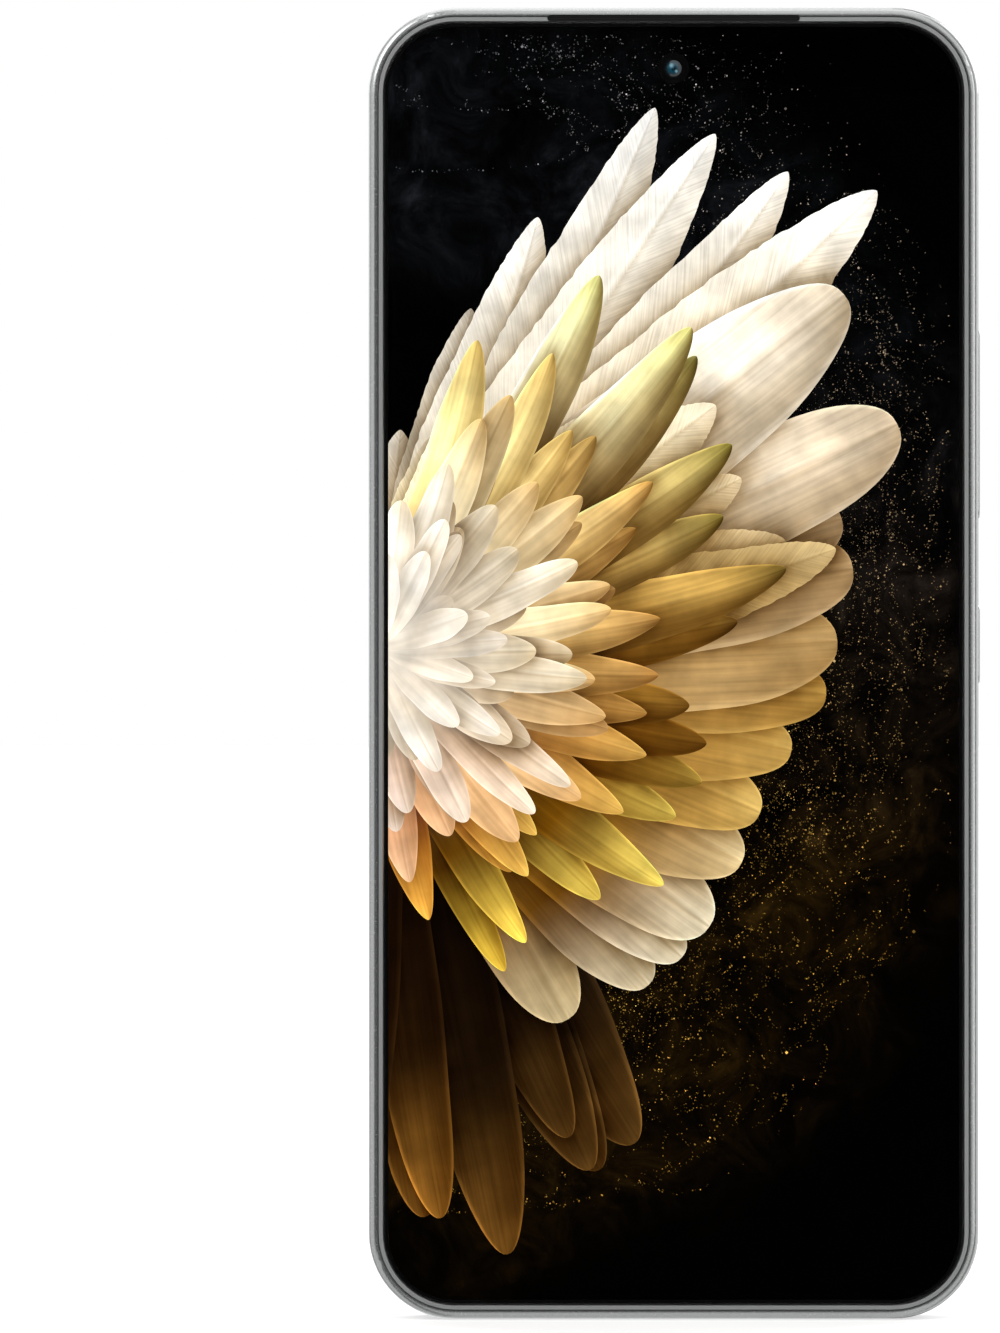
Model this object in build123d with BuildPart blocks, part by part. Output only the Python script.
from build123d import *
import os

# A slab smartphone that stands on its bottom edge. Millimetres.
# X runs across the screen, Y from the screen (-) to the back (+), Z up from the middle of the bottom edge.

# ---- Driving dimensions ----

# Outside
width = 77.0
height = 165.6
thickness = 7.7
corner_radius = 10.9
edge_round = 1.00
wall = 1.7

# Clearances
joint_gap = 0.05    # between pieces laid into one another
slide_gap = 0.10    # around a piece that moves
room_gap = 0.30     # between inner pieces and the wall

# Layers, from the screen to the back
glass_thickness = 0.60
panel_thickness = 0.70
backlight_thickness = 0.60
flex_room = 0.20
plate_thickness = 0.40
boss_height = 0.95
board_thickness = 0.80
inner_cover_thickness = 0.70
back_cover_room = 0.15
back_cover_thickness = 0.70
flex_thickness = 0.12

# Screen edge, each as a distance inwards from the outside of the frame
screen_rebate = 1.15
trim_inset = 1.30
glass_inset = 1.85
trim_ledge_inset = 2.40
panel_inset = 2.50
trim_depth = 0.10
trim_ledge = 0.25
glass_edge_round = 0.30

# Earpiece slit, at the top edge of the glass
slit_length = 31.9
slit_width = 0.85
slit_depth = 0.35

# Front camera
front_camera_drop = 7.7
front_camera_radius = 1.9
front_camera_body = 6.4

# Back cover
cover_rebate = 1.05
cover_inset = 1.13
cover_edge_round = 0.20

# Cameras, placed from the top and from the right-hand side as seen from the screen
camera_side = 15.9
camera_drop = 16.3
camera_gap = 0.20
ring_radius = 8.3
ring_height = 2.0
ring_round = 0.75
ring_flange = 0.6
ring_flange_thickness = 0.12
ring_rim = 1.40
window_ledge = 1.0
window_thickness = 0.50
window_sink = 0.20
flash_side = 30.6
flash_radius = 2.25
focus_travel = 0.35
main_lens_radius = 3.4
main_camera_body = 11.5
wide_camera_body = 9.2
wide_barrel_radius = 3.3
small_camera_body = 7.2
small_barrel_radius = 2.5

# Side keys, placed from the top
key_width = 2.0
key_proud = 0.35
key_flange = 0.45
key_overhang = 0.60
key_round = 0.30
power_key_length = 10.1
power_key_drop = 80.3
power_travel = 0.25
volume_key_length = 24.1
volume_key_drop = 52.4
volume_flange_gap = 0.25
volume_plunger_spread = 8.0
plunger_radius = 0.60
power_plunger = 0.55
volume_plunger = 0.40
dome_radius = 1.25
dome_height = 0.55
key_strip_depth = 2.05        # from the inside of the wall

# Ports
usb_width = 8.94
usb_height = 3.26
usb_depth = 7.3
usb_shell = 0.30
usb_recess = 0.35
jack_side = 18.5
jack_bore_radius = 1.80
jack_bore_depth = 12.6
jack_nose = 0.30
jack_hole_radius = 1.90
jack_body_width = 6.4
hole_radius = 0.50
speaker_hole_radius = 0.60
speaker_hole_pitch = 2.2
speaker_hole_count = 6
speaker_side = 18.2
microphone_side = 26.5
infrared_radius = 1.15
infrared_side = 26.0
top_microphone_side = 31.5

# SIM tray, placed from the top
tray_drop = 38.1
tray_width = 17.1
tray_depth = 26.0
tray_thickness = 0.90
tray_door_length = 22.0
tray_door_height = 2.1
tray_door_thickness = 1.10
tray_door_shift = 1.3
tray_seal_thickness = 0.25
pin_hole_radius = 0.40

# Inside
battery_width = 65.5
battery_bottom = 26.0
battery_side = 5.0
battery_gap = 5.5            # below the main board
main_board_drop = 6.8        # below the lowest camera
main_board_side = 9.0        # from the cameras' line
sub_board_top = 24.5
sub_board_right = 7.5        # from the middle of the phone
shield_height = 1.3
shield_round = 0.6
earpiece_left = 5.2
earpiece_length = 13.4
earpiece_depth = 6.4
earpiece_drop = 1.3          # below the inside of the top edge
sensor_side = 26.5
sensor_drop = 4.95
sensor_width = 3.2
sensor_height = 2.3
display_flex_width = 9.0
display_flex_z = 22.3
display_flex_foot = 18.0
battery_tab_half = 21.0
battery_strap_width = 5.5
ribbon_width = 6.0
connector_width = 8.0
connector_length = 2.4
connector_height = 0.7
lead_radius = 0.40
lead_bend = 1.8
tongue_width = 6.65
tongue_thickness = 0.70
screw_radius = 0.60
screw_head_radius = 1.20
screw_head_height = 0.40
screw_reach = 1.10
boss_radius = 1.7
sleeve_radius = 1.8
motor_radius = 1.7
motor_length = 8.5
weight_radius = 1.6
weight_length = 3.6
weight_hub_radius = 0.7
weight_gap = 0.3
shaft_radius = 0.30
shaft_length = 3.3

# ---- Places worked out from them ----

right = width / 2
left = -right
front = -thickness / 2
back = thickness / 2
glass_back = front + glass_thickness
trim_shelf = glass_back + trim_ledge
panel_back = glass_back + panel_thickness
backlight_back = panel_back + backlight_thickness
plate_front = backlight_back + flex_room
plate_back = plate_front + plate_thickness
board_front = plate_back + boss_height
board_back = board_front + board_thickness
cover_front = back - back_cover_thickness
inner_cover_back = cover_front - back_cover_room
inner_cover_front = inner_cover_back - inner_cover_thickness
port_y = (plate_back + inner_cover_back) / 2
room_front = plate_back + joint_gap
room_back = inner_cover_back - joint_gap

front_camera_z = height - front_camera_drop
slit_z = height - glass_inset + slit_width / 2
camera_x = right - camera_side
camera_pitch = 2 * (ring_radius + ring_flange) + camera_gap
window_radius = ring_radius - ring_rim
ring_aperture = window_radius - window_ledge
camera_z = [height - camera_drop - camera_pitch * i for i in range(3)]
camera_names = ["top", "middle", "bottom"]
flash_x = right - flash_side
ring_top = back + ring_height
window_back = ring_top - window_sink
window_front = window_back - window_thickness
power_key_z = height - power_key_drop
volume_key_z = height - volume_key_drop
tray_z = height - tray_drop
tray_y = board_back + 0.75
door_z = tray_z - tray_door_shift
pin_z = door_z - tray_door_length / 2 + 1.7
jack_x = left + jack_side
infrared_x = left + infrared_side
top_microphone_x = left + top_microphone_side
microphone_x = left + microphone_side
speaker_x = right - speaker_side
usb_top = usb_recess + usb_depth
inner_top = height - wall
jack_mouth = inner_top - joint_gap
jack_bottom = jack_mouth - jack_bore_depth
main_board_bottom = camera_z[2] - main_board_drop
battery_top = main_board_bottom - battery_gap
battery_left = left + battery_side
battery_right = battery_left + battery_width
board_right = camera_x - main_board_side
battery_back = inner_cover_back - 0.30
flex_y = battery_back
earpiece_right = earpiece_left + earpiece_length
sensor_x = left + sensor_side
sensor_z = height - sensor_drop
motor_y = plate_back + motor_radius + 0.10
motor_z = 19.5
motor_x = left + 10.0

# Screws that hold an inner cover and a board down, and screws that hold an inner cover alone
upper_board_screws = [
    (left + 6.1, height - 12.1),
    (left + 27.9, height - 12.0),
    (board_right - 2.6, height - 24.1),
    (left + 5.5, main_board_bottom + 7.0),
    (board_right - 2.8, main_board_bottom + 3.9),
]
# The side screw stays level with the middle camera, but clear of the bracket behind the side keys
bracket_bottom = power_key_z - 10
bracket_top = volume_key_z + 14
side_screw_z = max(camera_z[1], bracket_top + 2.2)
upper_bare_screws = [(right - 5.5, height - 8.6), (right - 4.9, side_screw_z)]
lower_board_screws = [(left + 6.0, 9.0), (left + 23.0, 12.5), (sub_board_right - 2.3, 14.5)]
board_screws = upper_board_screws + lower_board_screws
all_screws = board_screws + upper_bare_screws


# ---- Helpers ----


def level(y):
    # The plane at depth y. Its own x and y run along X and Z.
    return Plane.XZ.offset(-y)


def grow(start, end, mode=Mode.ADD):
    # Turns the pending sketch on level(start) into a solid that ends at depth end, further back.
    extrude(amount=start - end, mode=mode)


def outline(inset, mode=Mode.ADD):
    with Locations((0, height / 2)):
        RectangleRounded(width - 2 * inset, height - 2 * inset, corner_radius - inset, mode=mode)


def region(x0, x1, z0, z1, mode=Mode.ADD):
    with Locations(((x0 + x1) / 2, (z0 + z1) / 2)):
        Rectangle(x1 - x0, z1 - z0, mode=mode)


def block(x0, x1, y0, y1, z0, z1, mode=Mode.ADD):
    with Locations(((x0 + x1) / 2, (y0 + y1) / 2, (z0 + z1) / 2)):
        Box(x1 - x0, y1 - y0, z1 - z0, mode=mode)


# ---- Frame, chassis and covers ----

with BuildPart() as side_frame:
    with BuildSketch(level(front)):
        outline(0)
    grow(front, back)
    ends = side_frame.faces().filter_by(Axis.Y)
    fillet(ends.edges(), edge_round)
    with BuildSketch(level(front)):
        outline(wall)
    grow(front, back, Mode.SUBTRACT)
    # Rebates for the screen and the back cover, and the groove that holds the chassis plate
    with BuildSketch(level(front)):
        outline(screen_rebate)
        with Locations((0, slit_z)):
            SlotOverall(slit_length, slit_width)
    grow(front, trim_shelf, Mode.SUBTRACT)
    with BuildSketch(level(cover_front)):
        outline(cover_rebate)
    grow(cover_front, back, Mode.SUBTRACT)
    with BuildSketch(level(plate_front)):
        outline(wall - 0.60)
    grow(plate_front, plate_back, Mode.SUBTRACT)
    # Slots for the side keys
    with BuildSketch(Plane.YZ.offset(right - wall - 1)):
        with Locations((0, power_key_z)):
            SlotOverall(power_key_length + 2 * slide_gap, key_width + 2 * slide_gap, rotation=90)
        with Locations((0, volume_key_z)):
            SlotOverall(volume_key_length + 2 * slide_gap, key_width + 2 * slide_gap, rotation=90)
    extrude(amount=wall + 2, mode=Mode.SUBTRACT)
    # Pocket for the tray's door, slot for the tray and hole for the pin
    with BuildSketch(Plane.YZ.offset(left)):
        with Locations((tray_y, door_z)):
            SlotOverall(tray_door_length + 2 * slide_gap, tray_door_height + 2 * slide_gap, rotation=90)
    extrude(amount=tray_door_thickness + tray_seal_thickness + joint_gap, mode=Mode.SUBTRACT)
    with BuildSketch(Plane.YZ.offset(left)):
        with Locations((tray_y, tray_z)):
            Rectangle(tray_thickness + 2 * slide_gap, tray_width + 2 * slide_gap)
        with Locations((tray_y, pin_z)):
            Circle(pin_hole_radius + slide_gap)
    extrude(amount=wall + 1, mode=Mode.SUBTRACT)
    # Bottom edge: USB port, speaker holes and microphone hole
    with BuildSketch(Plane.XY):
        with Locations((0, port_y)):
            SlotOverall(usb_width + 4 * joint_gap, usb_height + 4 * joint_gap)
        with Locations((speaker_x, port_y)):
            with GridLocations(speaker_hole_pitch, 1, speaker_hole_count, 1):
                Circle(speaker_hole_radius)
        with Locations((microphone_x, port_y)):
            Circle(hole_radius)
    extrude(amount=wall + 1, mode=Mode.SUBTRACT)
    # Top edge: headphone jack, infrared window and microphone hole
    with BuildSketch(Plane.XY.offset(height)):
        with Locations((jack_x, port_y)):
            Circle(jack_hole_radius)
        with Locations((infrared_x, port_y)):
            Circle(infrared_radius + joint_gap)
        with Locations((top_microphone_x, port_y)):
            Circle(hole_radius)
    extrude(amount=-wall - 1, mode=Mode.SUBTRACT)

with BuildPart() as chassis_plate:
    with BuildSketch(level(plate_front)):
        outline(wall - 0.60 + 0.02)
        seat = front_camera_body + 4 * joint_gap
        with Locations((0, front_camera_z)):
            Rectangle(seat, seat, mode=Mode.SUBTRACT)
        # Sound channel of the earpiece, window of the light sensor and slot for the display's flex
        region(earpiece_left, earpiece_right, inner_top - 1.2, inner_top - 0.4, Mode.SUBTRACT)
        region(sensor_x - 1.3, sensor_x + 1.3, sensor_z - 0.65, sensor_z + 0.75, Mode.SUBTRACT)
        slot_half = display_flex_width / 2 + 0.5
        region(-slot_half, slot_half, display_flex_z - 0.5, display_flex_z + 0.5, Mode.SUBTRACT)
    grow(plate_front, plate_back)
    with BuildSketch(level(plate_back)):
        with Locations(*board_screws):
            Circle(boss_radius)
    grow(plate_back, board_front)
    with BuildSketch(level(plate_back)):
        with Locations(*upper_bare_screws):
            Circle(boss_radius)
    grow(plate_back, board_back)
    with BuildSketch(level(board_front - screw_reach - 0.10)):
        with Locations(*all_screws):
            Circle(screw_radius + 0.02)
    grow(board_front - screw_reach - 0.10, board_back, Mode.SUBTRACT)

with BuildPart() as back_cover:
    with BuildSketch(level(cover_front)):
        outline(cover_inset)
        with Locations(*[(camera_x, z) for z in camera_z]):
            Circle(ring_radius + joint_gap, mode=Mode.SUBTRACT)
        with Locations((flash_x, camera_z[0])):
            Circle(flash_radius + joint_gap, mode=Mode.SUBTRACT)
    grow(cover_front, back)
    rim = back_cover.faces().sort_by(Axis.Y)[-1].outer_wire().edges()
    fillet(rim, cover_edge_round)

with BuildPart() as graphite_sheet:
    with BuildSketch(level(cover_front - 0.08)):
        with Locations((0, (battery_bottom + battery_top) / 2)):
            RectangleRounded(battery_width, battery_top - battery_bottom - 3, 2)
    grow(cover_front - 0.08, cover_front)


def inner_cover(bottom, top, screws, cutouts, round_holes):
    # A moulded plate over a board, held by screws that run through its sleeves.
    with BuildPart() as cover:
        with BuildSketch(level(inner_cover_front)):
            outline(wall + room_gap)
            region(left, right, bottom, top, Mode.INTERSECT)
            for x0, x1, z0, z1 in cutouts:
                region(x0, x1, z0, z1, Mode.SUBTRACT)
            for x, z, radius in round_holes:
                with Locations((x, z)):
                    Circle(radius, mode=Mode.SUBTRACT)
        grow(inner_cover_front, inner_cover_back)
        with BuildSketch(level(board_back)):
            with Locations(*screws):
                Circle(sleeve_radius)
        grow(board_back, inner_cover_front)
        with BuildSketch(level(board_back)):
            with Locations(*screws):
                Circle(screw_radius + joint_gap)
        grow(board_back, inner_cover_back, Mode.SUBTRACT)
        with BuildSketch(level(inner_cover_back - screw_head_height - joint_gap)):
            with Locations(*screws):
                Circle(screw_head_radius + joint_gap)
        grow(inner_cover_back - screw_head_height - joint_gap, inner_cover_back, Mode.SUBTRACT)
    return cover


def square_around(x, z, size):
    half = size / 2 + slide_gap
    return (x - half, x + half, z - half, z + half)


camera_bodies = [main_camera_body, wide_camera_body, small_camera_body]
upper_cutouts = [square_around(camera_x, z, body) for z, body in zip(camera_z, camera_bodies)]
upper_cutouts.append((jack_x - 3.4, jack_x + 3.4, jack_bottom - 0.6, height))
upper_inner_cover = inner_cover(
    main_board_bottom - 0.3,
    height,
    upper_board_screws + upper_bare_screws,
    upper_cutouts,
    [(flash_x, camera_z[0], flash_radius + 0.25)],
)
port_half = usb_width / 2 + 1.2
lower_cutouts = [(-port_half, port_half, 0, usb_top + 0.2), (sub_board_right + 0.3, right, 0, height)]
lower_inner_cover = inner_cover(0, sub_board_top + 0.1, lower_board_screws, lower_cutouts, [])

with BuildPart() as chassis_screws:
    seat = inner_cover_back - screw_head_height
    with BuildSketch(level(seat)):
        with Locations(*all_screws):
            Circle(screw_head_radius)
    grow(seat, inner_cover_back)
    with BuildSketch(level(board_front - screw_reach)):
        with Locations(*all_screws):
            Circle(screw_radius)
    grow(board_front - screw_reach, seat)
    with BuildSketch(level(inner_cover_back - 0.20)):
        with Locations(*all_screws):
            RegularPolygon(0.45, 6)
    grow(inner_cover_back - 0.20, inner_cover_back, Mode.SUBTRACT)

# ---- Screen ----

with BuildPart() as cover_glass:
    with BuildSketch(level(front)):
        outline(glass_inset)
    grow(front, glass_back)
    fillet(cover_glass.faces().sort_by(Axis.Y)[0].edges(), glass_edge_round)

with BuildPart() as screen_trim_ring:
    with BuildSketch(level(front + trim_depth)):
        outline(trim_inset)
        outline(glass_inset - joint_gap, Mode.SUBTRACT)
        with Locations((0, slit_z)):
            SlotOverall(slit_length, slit_width, mode=Mode.SUBTRACT)
    grow(front + trim_depth, glass_back)
    with BuildSketch(level(glass_back)):
        outline(trim_inset)
        outline(trim_ledge_inset, Mode.SUBTRACT)
    grow(glass_back, trim_shelf)

with BuildPart() as earpiece_mesh:
    with BuildSketch(level(front + slit_depth)):
        with Locations((0, slit_z)):
            SlotOverall(slit_length - 2 * joint_gap, slit_width - 2 * joint_gap)
        outline(glass_inset - joint_gap, Mode.SUBTRACT)
    grow(front + slit_depth, glass_back)

with BuildPart() as display_panel:
    with BuildSketch(level(glass_back)):
        outline(panel_inset)
        with Locations((0, front_camera_z)):
            Circle(front_camera_radius + slide_gap, mode=Mode.SUBTRACT)
    grow(glass_back, panel_back)

with BuildPart() as display_backlight:
    with BuildSketch(level(panel_back)):
        outline(panel_inset)
        with Locations((0, front_camera_z)):
            Circle(front_camera_radius + slide_gap, mode=Mode.SUBTRACT)
    grow(panel_back, backlight_back)

with BuildPart() as display_flex_cable:
    behind = backlight_back + 0.03
    foot = board_front - connector_height
    half = display_flex_width / 2
    bend = display_flex_z
    block(-half, half, behind, behind + flex_thickness, 5.0, bend)
    block(-half, half, behind, foot, bend - flex_thickness, bend)
    block(-half, half, foot - flex_thickness, foot, display_flex_foot - 0.2, bend)
    half = connector_width / 2
    block(-half, half, foot, board_front, display_flex_foot, display_flex_foot + connector_length)

with BuildPart() as front_camera_module:
    half = front_camera_body / 2
    block(-half, half, plate_front, board_back + 0.6, front_camera_z - half, front_camera_z + half)
    with BuildSketch(level(glass_back)):
        with Locations((0, front_camera_z)):
            Circle(front_camera_radius)
    grow(glass_back, plate_front)
    with BuildSketch(level(glass_back)):
        with Locations((0, front_camera_z)):
            Circle(1.1)
    grow(glass_back, glass_back + 0.5, Mode.SUBTRACT)

with BuildPart() as earpiece_speaker:
    ends = (earpiece_left, earpiece_right)
    top = inner_top - earpiece_drop
    block(*ends, room_front, board_back + 1.2, top - earpiece_depth, top)
    fillet(earpiece_speaker.edges().filter_by(Axis.Y), 0.8)
    block(*ends, room_front, room_front + 0.6, top, inner_top - 0.4)

with BuildPart() as proximity_light_sensor:
    x0 = sensor_x - sensor_width / 2
    z0 = sensor_z - sensor_height / 2
    block(x0, x0 + sensor_width, room_front, board_front, z0, z0 + sensor_height)

# ---- Cameras and flash ----


def camera_ring(z):
    with BuildPart() as ring:
        with BuildSketch(level(inner_cover_back)):
            with Locations((camera_x, z)):
                Circle(ring_radius)
        grow(inner_cover_back, ring_top)
        fillet(ring.faces().sort_by(Axis.Y)[-1].edges(), ring_round)
        with BuildSketch(level(inner_cover_back)):
            with Locations((camera_x, z)):
                Circle(ring_radius + ring_flange)
        grow(inner_cover_back, inner_cover_back + ring_flange_thickness)
        with BuildSketch(level(window_front)):
            with Locations((camera_x, z)):
                Circle(window_radius + joint_gap)
        grow(window_front, ring_top, Mode.SUBTRACT)
        with BuildSketch(level(inner_cover_back)):
            with Locations((camera_x, z)):
                Circle(ring_aperture)
        grow(inner_cover_back, window_front, Mode.SUBTRACT)
    return ring


def camera_glass(z):
    with BuildPart() as glass:
        with BuildSketch(level(window_front)):
            with Locations((camera_x, z)):
                Circle(window_radius)
        grow(window_front, window_back)
    return glass


def camera_module(z, body, barrel_radius):
    with BuildPart() as module:
        half = body / 2
        block(camera_x - half, camera_x + half, room_front, room_back, z - half, z + half)
        with BuildSketch(level(room_back)):
            with Locations((camera_x, z)):
                Circle(barrel_radius)
        grow(room_back, window_front - 0.35)
        with BuildSketch(level(window_front - 0.85)):
            with Locations((camera_x, z)):
                Circle(barrel_radius * 0.6)
        grow(window_front - 0.85, window_front - 0.35, Mode.SUBTRACT)
    return module


camera_rings = [camera_ring(z) for z in camera_z]
camera_windows = [camera_glass(z) for z in camera_z]
wide_camera_module = camera_module(camera_z[1], wide_camera_body, wide_barrel_radius)
small_camera_module = camera_module(camera_z[2], small_camera_body, small_barrel_radius)

# The main camera's lens slides in its housing to focus
lens_front = window_front - focus_travel - 0.25
lens_seat = room_front + 2.0

with BuildPart() as main_camera_housing:
    half = main_camera_body / 2
    z = camera_z[0]
    block(camera_x - half, camera_x + half, room_front, room_back, z - half, z + half)
    with BuildSketch(level(room_back)):
        with Locations((camera_x, z)):
            Circle(main_lens_radius + slide_gap + 1.0)
    grow(room_back, lens_front - 0.35)
    with BuildSketch(level(lens_seat)):
        with Locations((camera_x, z)):
            Circle(main_lens_radius + slide_gap)
    grow(lens_seat, lens_front, Mode.SUBTRACT)

with BuildPart() as main_camera_lens:
    with BuildSketch(level(lens_seat + 0.2)):
        with Locations((camera_x, camera_z[0])):
            Circle(main_lens_radius)
    grow(lens_seat + 0.2, lens_front)
    with BuildSketch(level(lens_front - 0.6)):
        with Locations((camera_x, camera_z[0])):
            Circle(main_lens_radius * 0.65)
    grow(lens_front - 0.6, lens_front, Mode.SUBTRACT)

with BuildPart() as flash_lens:
    with BuildSketch(level(inner_cover_back)):
        with Locations((flash_x, camera_z[0])):
            Circle(flash_radius)
    grow(inner_cover_back, back - 0.03)
    with BuildSketch(level(inner_cover_back)):
        with Locations((flash_x, camera_z[0])):
            Circle(flash_radius + ring_flange)
    grow(inner_cover_back, inner_cover_back + ring_flange_thickness)

with BuildPart() as flash_emitter:
    z = camera_z[0]
    block(flash_x - 2.0, flash_x + 2.0, board_back, inner_cover_front - 0.1, z - 2.0, z + 2.0)
    block(flash_x - 1.0, flash_x + 1.0, inner_cover_front - 0.1, inner_cover_back - 0.3, z - 1.0, z + 1.0)

# ---- Boards and what is on them ----

with BuildPart() as main_board:
    with BuildSketch(level(board_front)):
        outline(wall + room_gap)
        region(left, board_right, main_board_bottom, height, Mode.INTERSECT)
        region(jack_x - 3.5, jack_x + 3.5, jack_bottom - 0.8, height, Mode.SUBTRACT)
        notch_bottom = front_camera_z - front_camera_body / 2 - 0.3
        region(-front_camera_body / 2 - 0.3, board_right, notch_bottom, height, Mode.SUBTRACT)
        with Locations(*upper_board_screws):
            Circle(screw_radius + 0.15, mode=Mode.SUBTRACT)
    grow(board_front, board_back)

with BuildPart() as sub_board:
    with BuildSketch(level(board_front)):
        outline(wall + room_gap)
        region(left, sub_board_right, 0, sub_board_top, Mode.INTERSECT)
        half = usb_width / 2 + 1.1
        region(-half, half, 0, usb_top + 0.3, Mode.SUBTRACT)
        notch_left = motor_x - weight_length - 1.6
        notch_right = motor_x + motor_length + 0.5
        region(notch_left, notch_right, motor_z - 2.6, height, Mode.SUBTRACT)
        with Locations(*lower_board_screws):
            Circle(screw_radius + 0.15, mode=Mode.SUBTRACT)
    grow(board_front, board_back)


def shield(x0, x1, z0, z1, y0, y1):
    # A thin steel can, closed on the side away from the board.
    with BuildPart() as can:
        block(x0, x1, y0, y1, z0, z1)
        fillet(can.edges().filter_by(Axis.Y), shield_round)
    return can


shield_back = board_back + shield_height
processor_z = height - 47.0
processor_top = processor_z + 23.5
processor_shield = shield(left + 29.3, left + 47.0, processor_z, processor_top, board_back, shield_back)
radio_z = height - 27.3
radio_shield = shield(left + 3.6, left + 24.5, radio_z, radio_z + 12.0, board_back, shield_back)
power_z = height - 51.6
shield_front = plate_back + 0.1
power_shield = shield(left + 30.5, left + 46.8, power_z, power_z + 26.0, shield_front, board_front)

with BuildPart() as sim_card_reader:
    reader_half = tray_width / 2 + 0.85
    reader_left = left + wall + 0.3
    reader_right = left + tray_depth + 1.5
    roof = tray_y + tray_thickness / 2 + 0.35
    block(reader_left, reader_right, board_back, roof, tray_z - reader_half, tray_z + reader_half)
    inner_half = tray_width / 2 + 0.30
    floor = tray_y - tray_thickness / 2 - 0.15
    ceiling = tray_y + tray_thickness / 2 + 0.15
    inside_right = reader_right - 0.3
    block(left, inside_right, floor, ceiling, tray_z - inner_half, tray_z + inner_half, Mode.SUBTRACT)

with BuildPart() as top_microphone:
    x = top_microphone_x
    block(x - 1.6, x + 1.6, board_back, board_back + 1.0, inner_top - 3.0, inner_top - 0.4)

with BuildPart() as bottom_microphone:
    x = microphone_x
    block(x - 1.7, x + 1.7, board_back, board_back + 1.0, wall + 0.6, wall + 3.2)

with BuildPart() as infrared_emitter:
    x = infrared_x
    block(x - 1.1, x + 1.1, board_back, board_back + 1.5, inner_top - 3.2, inner_top - 0.5)

with BuildPart() as infrared_window:
    with BuildSketch(Plane.XY.offset(inner_top)):
        with Locations((infrared_x, port_y)):
            Circle(infrared_radius)
    extrude(amount=wall - 0.05)

# ---- Battery and cables ----

with BuildPart() as battery:
    block(battery_left, battery_right, room_front, battery_back, battery_bottom, battery_top)
    fillet(battery.edges(), 0.5)

with BuildPart() as battery_protection_board:
    tab_y = board_back + 0.5
    tab_end = battery_tab_half
    strap = (-tab_end, battery_strap_width - tab_end)
    low = main_board_bottom + 0.5
    high = main_board_bottom + 2.7
    block(-tab_end, tab_end, plate_back + 0.2, tab_y, battery_top + 0.1, battery_top + 3.4)
    block(*strap, tab_y, tab_y + flex_thickness, battery_top + 0.6, high)
    block(*strap, board_back, tab_y, low, high)

with BuildPart() as main_flex_cable:
    ribbon = flex_y + flex_thickness
    low_z = battery_bottom - 0.8
    high_z = main_board_bottom - 1.2
    shoe = board_back + connector_height
    half = ribbon_width / 2
    block(-half, half, flex_y, ribbon, low_z, high_z)
    block(-half, half, shoe, ribbon, low_z, low_z + flex_thickness)
    block(-half, half, shoe, ribbon, high_z - flex_thickness, high_z)
    block(-half, half, shoe, shoe + flex_thickness, low_z - 3.6, low_z)
    block(-half, half, shoe, shoe + flex_thickness, high_z, high_z + 4.0)
    half = connector_width / 2
    block(-half, half, board_back, shoe, low_z - 3.6, low_z - 3.6 + connector_length)
    block(-half, half, board_back, shoe, high_z + 4.0 - connector_length, high_z + 4.0)

with BuildPart() as antenna_lead:
    lead_x = left + 3.3
    lead_y = board_back + 0.7
    low = (left + 7.5, 13.5)
    high = (left + 9.5, main_board_bottom + 2.5)
    with BuildLine(level(lead_y)):
        FilletPolyline(low, (lead_x, low[1]), (lead_x, high[1]), high, radius=lead_bend)
    with BuildSketch(Plane(origin=(low[0], lead_y, low[1]), z_dir=(-1, 0, 0))):
        Circle(lead_radius)
    sweep()
    with BuildSketch(level(board_back)):
        with Locations(low, high):
            Circle(1.1)
    grow(board_back, board_back + 1.15)

# ---- Ports, speaker and vibration motor ----

with BuildPart() as usb_port:
    with BuildSketch(Plane.XY.offset(usb_recess)):
        with Locations((0, port_y)):
            SlotOverall(usb_width, usb_height)
    extrude(amount=usb_depth)
    with BuildSketch(Plane.XY.offset(usb_recess)):
        with Locations((0, port_y)):
            SlotOverall(usb_width - 2 * usb_shell, usb_height - 2 * usb_shell)
    extrude(amount=usb_depth - 0.5, mode=Mode.SUBTRACT)
    with BuildSketch(Plane.XY.offset(usb_recess + 0.9)):
        with Locations((0, port_y)):
            Rectangle(tongue_width, tongue_thickness)
    extrude(amount=usb_depth - 1.2)

with BuildPart() as usb_seal:
    with BuildSketch(Plane.XY.offset(wall)):
        with Locations((0, port_y)):
            SlotOverall(usb_width + 2.0, usb_height + 0.9)
            SlotOverall(usb_width + 0.04, usb_height + 0.04, mode=Mode.SUBTRACT)
    extrude(amount=0.8)

with BuildPart() as audio_jack:
    jack_shoulder = inner_top - 0.8
    half = (room_back - room_front) / 2
    with BuildSketch(Plane.XY.offset(jack_bottom - 0.5)):
        with Locations((jack_x, port_y)):
            Rectangle(jack_body_width, 2 * half)
    extrude(amount=jack_shoulder - jack_bottom + 0.5)
    with BuildSketch(Plane.XY.offset(jack_shoulder)):
        with Locations((jack_x, port_y)):
            Circle(jack_bore_radius + jack_nose)
    extrude(amount=jack_mouth - jack_shoulder)
    with BuildSketch(Plane.XY.offset(jack_bottom)):
        with Locations((jack_x, port_y)):
            Circle(jack_bore_radius)
    extrude(amount=jack_bore_depth, mode=Mode.SUBTRACT)

with BuildPart() as audio_jack_seal:
    with BuildSketch(Plane.XY.offset(jack_shoulder)):
        with Locations((jack_x, port_y)):
            Rectangle(jack_body_width - 0.4, 2 * half)
            Circle(jack_bore_radius + jack_nose + 0.02, mode=Mode.SUBTRACT)
    extrude(amount=inner_top - jack_shoulder)

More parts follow.
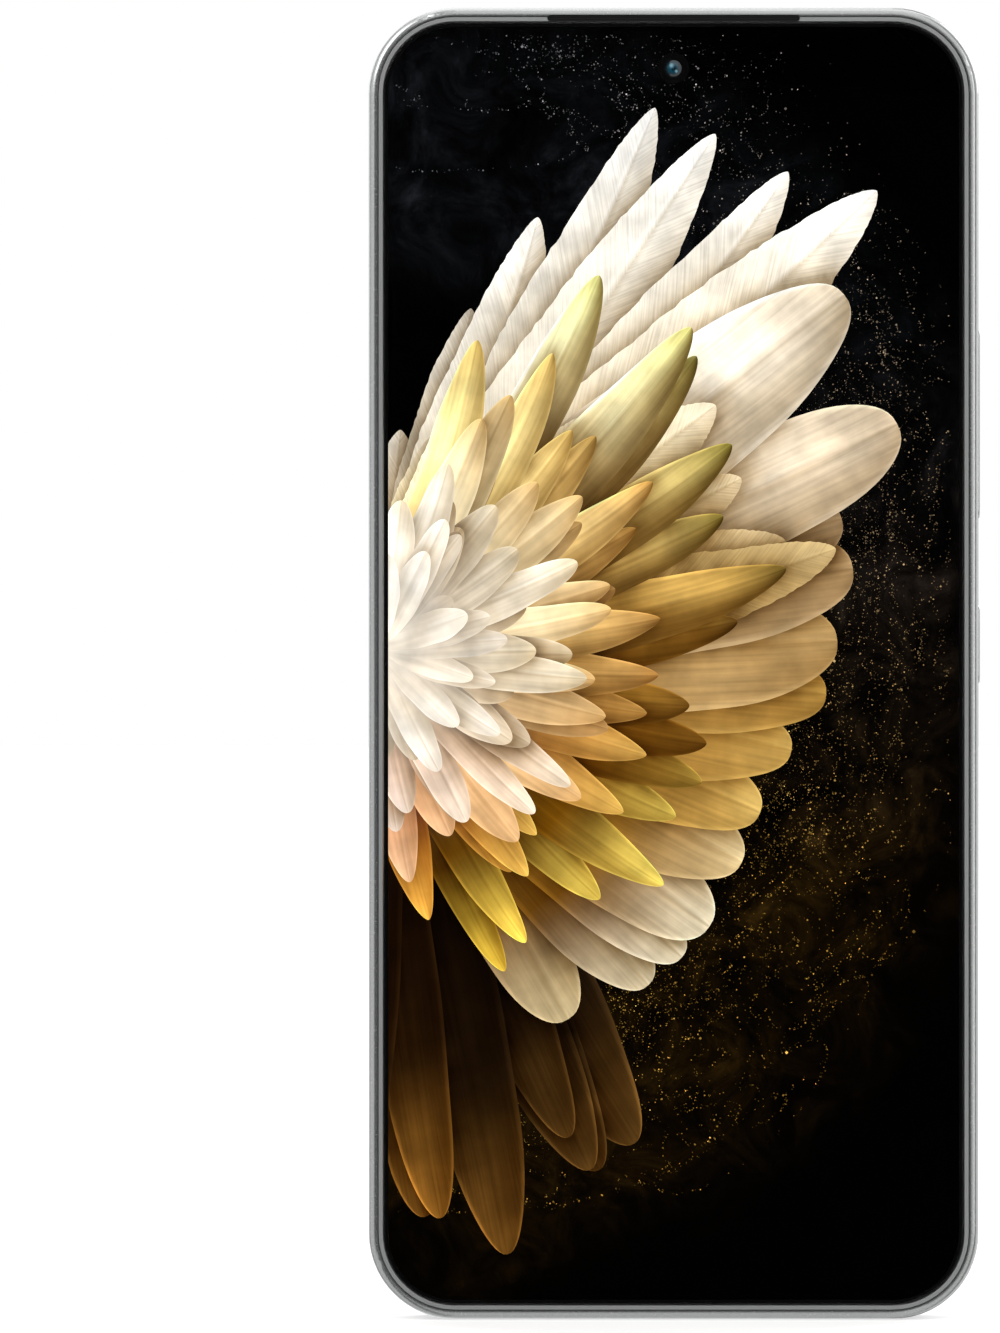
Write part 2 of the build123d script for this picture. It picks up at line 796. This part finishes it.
with BuildPart() as loudspeaker_box:
    with BuildSketch(level(room_front)):
        outline(wall + room_gap + 0.1)
        region(sub_board_right + 0.6, right, 0, sub_board_top, Mode.INTERSECT)
    grow(room_front, room_back)
    mouth = speaker_hole_pitch * speaker_hole_count / 2
    block(speaker_x - mouth, speaker_x + mouth, port_y - 0.8, port_y + 0.8, 0, wall + 7, Mode.SUBTRACT)

with BuildPart() as loudspeaker_mesh:
    half = mouth + 0.8
    low = wall + joint_gap
    block(speaker_x - half, speaker_x + half, port_y - 1.4, port_y + 1.4, low, wall + 0.3)

with BuildPart() as vibration_motor:
    with BuildSketch(Plane.YZ.offset(motor_x)):
        with Locations((motor_y, motor_z)):
            Circle(motor_radius)
    extrude(amount=motor_length)
    block(motor_x + 1, motor_x + motor_length - 1, plate_back, motor_y, motor_z - 1.9, motor_z + 1.9)
    with BuildSketch(Plane.YZ.offset(motor_x)):
        with Locations((motor_y, motor_z)):
            Circle(shaft_radius + joint_gap)
    extrude(amount=shaft_length + 0.7, mode=Mode.SUBTRACT)

with BuildPart() as vibration_weight:
    with BuildSketch(Plane.YZ.offset(motor_x - weight_gap)):
        with Locations((motor_y, motor_z)):
            Circle(weight_radius)
        with Locations((motor_y, motor_z + weight_radius)):
            Rectangle(4 * weight_radius, 2 * weight_radius, mode=Mode.SUBTRACT)
        with Locations((motor_y, motor_z)):
            Circle(weight_hub_radius)
    extrude(amount=-weight_length)
    with BuildSketch(Plane.YZ.offset(motor_x - weight_gap)):
        with Locations((motor_y, motor_z)):
            Circle(shaft_radius)
    extrude(amount=shaft_length)

# ---- Side keys ----


def side_key(z, length, flange_gap, plungers, plunger_length):
    # A cap through the frame's wall, a flange that keeps it in and plungers that press the domes.
    flange_back = right - wall - flange_gap
    with BuildPart() as key:
        with BuildSketch(Plane.YZ.offset(flange_back)):
            with Locations((0, z)):
                SlotOverall(length, key_width, rotation=90)
        extrude(amount=right + key_proud - flange_back)
        fillet(key.faces().sort_by(Axis.X)[-1].edges(), key_round)
        with BuildSketch(Plane.YZ.offset(flange_back)):
            with Locations((0, z)):
                SlotOverall(length + 2 * key_overhang, key_width + key_overhang, rotation=90)
        extrude(amount=-key_flange)
        with BuildSketch(Plane.YZ.offset(flange_back - key_flange)):
            with Locations(*[(0, z + shift) for shift in plungers]):
                Circle(plunger_radius)
        extrude(amount=-plunger_length)
    return key


power_key = side_key(power_key_z, power_key_length, joint_gap, [0], power_plunger)
volume_plungers = [-volume_plunger_spread, volume_plunger_spread]
volume_key = side_key(volume_key_z, volume_key_length, volume_flange_gap, volume_plungers, volume_plunger)

key_strip_x = right - wall - key_strip_depth
with BuildPart() as side_key_bracket:
    block(key_strip_x - 0.30, key_strip_x, plate_back, board_back + 1.2, bracket_bottom, bracket_top)
    block(key_strip_x - 1.20, key_strip_x, plate_back, plate_back + 0.20, bracket_bottom, bracket_top)

with BuildPart() as side_key_flex:
    block(key_strip_x, key_strip_x + flex_thickness, -0.9, 1.1, power_key_z - 8, volume_key_z + 12)
    with BuildSketch(Plane.YZ.offset(key_strip_x + flex_thickness)):
        with Locations((0, power_key_z), *[(0, volume_key_z + shift) for shift in volume_plungers]):
            Circle(dome_radius)
    extrude(amount=dome_height)

# ---- SIM tray ----

with BuildPart() as sim_tray:
    with BuildSketch(Plane.YZ.offset(left)):
        with Locations((tray_y, door_z)):
            SlotOverall(tray_door_length, tray_door_height, rotation=90)
        with Locations((tray_y, pin_z)):
            Circle(pin_hole_radius, mode=Mode.SUBTRACT)
    extrude(amount=tray_door_thickness)
    tray_inside = left + tray_door_thickness
    half_width = tray_width / 2
    half_thick = tray_thickness / 2
    tray_end = left + tray_depth
    sides = (tray_z - half_width, tray_z + half_width)
    block(tray_inside, tray_end, tray_y - half_thick, tray_y + half_thick, *sides)
    # Pockets for two cards, each with a thin floor and a hole for the contacts
    pocket_floor = tray_y - half_thick + 0.15
    pocket_top = tray_y + half_thick
    for start, length, across in [(3.2, 9.0, 12.5), (13.6, 11.2, 15.2)]:
        x0 = left + start
        x1 = x0 + length
        z0 = tray_z - across / 2
        z1 = tray_z + across / 2
        block(x0, x1, pocket_floor, pocket_top, z0, z1, Mode.SUBTRACT)
        block(x0 + 1.5, x1 - 1.5, tray_y - 1, tray_y + 1, z0 + 1.5, z1 - 1.5, Mode.SUBTRACT)

with BuildPart() as sim_tray_seal:
    with BuildSketch(Plane.YZ.offset(tray_inside)):
        with Locations((tray_y, door_z)):
            SlotOverall(tray_door_length - 0.3, tray_door_height - 0.3, rotation=90)
        with Locations((tray_y, tray_z)):
            Rectangle(tray_thickness + 0.04, tray_width + 0.04, mode=Mode.SUBTRACT)
        with Locations((tray_y, pin_z)):
            Circle(pin_hole_radius, mode=Mode.SUBTRACT)
    extrude(amount=tray_seal_thickness)

# ---- Write every piece ----

pieces = {
    "side_frame": side_frame,
    "chassis_plate": chassis_plate,
    "back_cover": back_cover,
    "graphite_sheet": graphite_sheet,
    "upper_inner_cover": upper_inner_cover,
    "lower_inner_cover": lower_inner_cover,
    "chassis_screws": chassis_screws,
    "cover_glass": cover_glass,
    "screen_trim_ring": screen_trim_ring,
    "earpiece_mesh": earpiece_mesh,
    "display_panel": display_panel,
    "display_backlight": display_backlight,
    "display_flex_cable": display_flex_cable,
    "front_camera_module": front_camera_module,
    "earpiece_speaker": earpiece_speaker,
    "proximity_light_sensor": proximity_light_sensor,
    "main_camera_housing": main_camera_housing,
    "main_camera_lens": main_camera_lens,
    "wide_camera_module": wide_camera_module,
    "small_camera_module": small_camera_module,
    "flash_lens": flash_lens,
    "flash_emitter": flash_emitter,
    "main_board": main_board,
    "sub_board": sub_board,
    "processor_shield": processor_shield,
    "radio_shield": radio_shield,
    "power_shield": power_shield,
    "sim_card_reader": sim_card_reader,
    "top_microphone": top_microphone,
    "bottom_microphone": bottom_microphone,
    "infrared_emitter": infrared_emitter,
    "infrared_window": infrared_window,
    "battery": battery,
    "battery_protection_board": battery_protection_board,
    "main_flex_cable": main_flex_cable,
    "antenna_lead": antenna_lead,
    "usb_port": usb_port,
    "usb_seal": usb_seal,
    "audio_jack": audio_jack,
    "audio_jack_seal": audio_jack_seal,
    "loudspeaker_box": loudspeaker_box,
    "loudspeaker_mesh": loudspeaker_mesh,
    "vibration_motor": vibration_motor,
    "vibration_weight": vibration_weight,
    "power_key": power_key,
    "volume_key": volume_key,
    "side_key_bracket": side_key_bracket,
    "side_key_flex": side_key_flex,
    "sim_tray": sim_tray,
    "sim_tray_seal": sim_tray_seal,
}
for name, ring, window in zip(camera_names, camera_rings, camera_windows):
    pieces[f"camera_ring_{name}"] = ring
    pieces[f"camera_glass_{name}"] = window

os.makedirs("parts", exist_ok=True)
for name, piece in pieces.items():
    piece.part.label = name
    export_step(piece.part, f"parts/{name}.step")
print(len(pieces), "pieces written")
